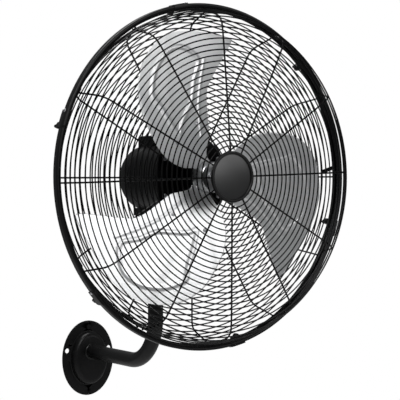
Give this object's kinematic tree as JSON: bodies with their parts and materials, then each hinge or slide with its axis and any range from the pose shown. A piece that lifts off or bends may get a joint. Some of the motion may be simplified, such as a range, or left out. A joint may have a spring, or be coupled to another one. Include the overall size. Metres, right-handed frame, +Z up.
{
  "type": "wall mounted fan",
  "caption": "Wall-mounted fan: caged metal blades on a motor, tilted on a bent tube arm that rises from an oval wall plate.",
  "frame": {"origin": "centre of the wall plate's back face, on the wall", "axes": "+Z up, -Y out of the wall towards the room and the way the fan blows, +X to the right when facing the fan"},
  "size_m": [0.6776, 0.5551, 0.8337],
  "materials": {
    "badge": "gloss dark grey, blank",
    "black_coat": "satin black powder coat",
    "black_wire": "gloss black coated wire",
    "blade_metal": "satin aluminium",
    "copper": "enamelled copper wire",
    "dark_motor": "satin black enamel",
    "hub_metal": "turned aluminium",
    "plastic": "black moulded plastic",
    "rotor_steel": "laminated steel",
    "steel": "plain steel",
    "zinc": "zinc plated steel"
  },
  "bodies": {
    "wall_arm": {"wall_plate": "black_coat", "arm_tube": "black_coat", "tilt_fork": "black_coat", "tilt_bolt": "zinc"},
    "tilt_handle": {"tilt_knob": "plastic"},
    "head": {"motor_foot": "black_coat", "motor_bell": "dark_motor", "motor_barrel": "dark_motor", "motor_shield": "dark_motor", "motor_cover": "dark_motor", "stator_core": "rotor_steel", "stator_windings": "copper", "motor_bearings": "steel", "capacitor": "plastic", "capacitor_cover": "dark_motor", "cable_gland": "plastic", "speed_switch": "plastic", "rear_plate": "black_coat", "rear_guard": "black_wire", "front_guard": "black_wire", "rim_band": "black_coat", "rim_clips": "black_coat", "clip_screws": "black_coat", "front_plate": "black_coat", "badge_ring": "black_coat", "badge_disc": "badge"},
    "speed_dial": {"speed_knob": "plastic"},
    "rotor": {"rotor_core": "rotor_steel", "motor_shaft": "steel", "fan_hub": "hub_metal", "hub_bolt": "zinc", "blade_spider": "black_coat", "blade_1": "blade_metal", "blade_2": "blade_metal", "blade_3": "blade_metal"}
  },
  "joints": [
    {"name": "blade_spin", "type": "hinge", "parent": "head", "child": "rotor", "pos_m": [0, -0.47, 0.404], "axis": [0, -1, 0], "continuous": true},
    {"name": "head_tilt", "type": "hinge", "parent": "wall_arm", "child": "head", "pos_m": [0, -0.282, 0.304], "axis": [1, 0, 0], "range_deg": [-25, 25]},
    {"name": "tilt_knob_turn", "type": "hinge", "parent": "wall_arm", "child": "tilt_handle", "pos_m": [0.02, -0.282, 0.304], "axis": [1, 0, 0], "range_deg": [-180, 180]},
    {"name": "speed_turn", "type": "hinge", "parent": "head", "child": "speed_dial", "pos_m": [0, -0.241, 0.37], "axis": [0, 1, 0], "range_deg": [-135, 135]}
  ]
}
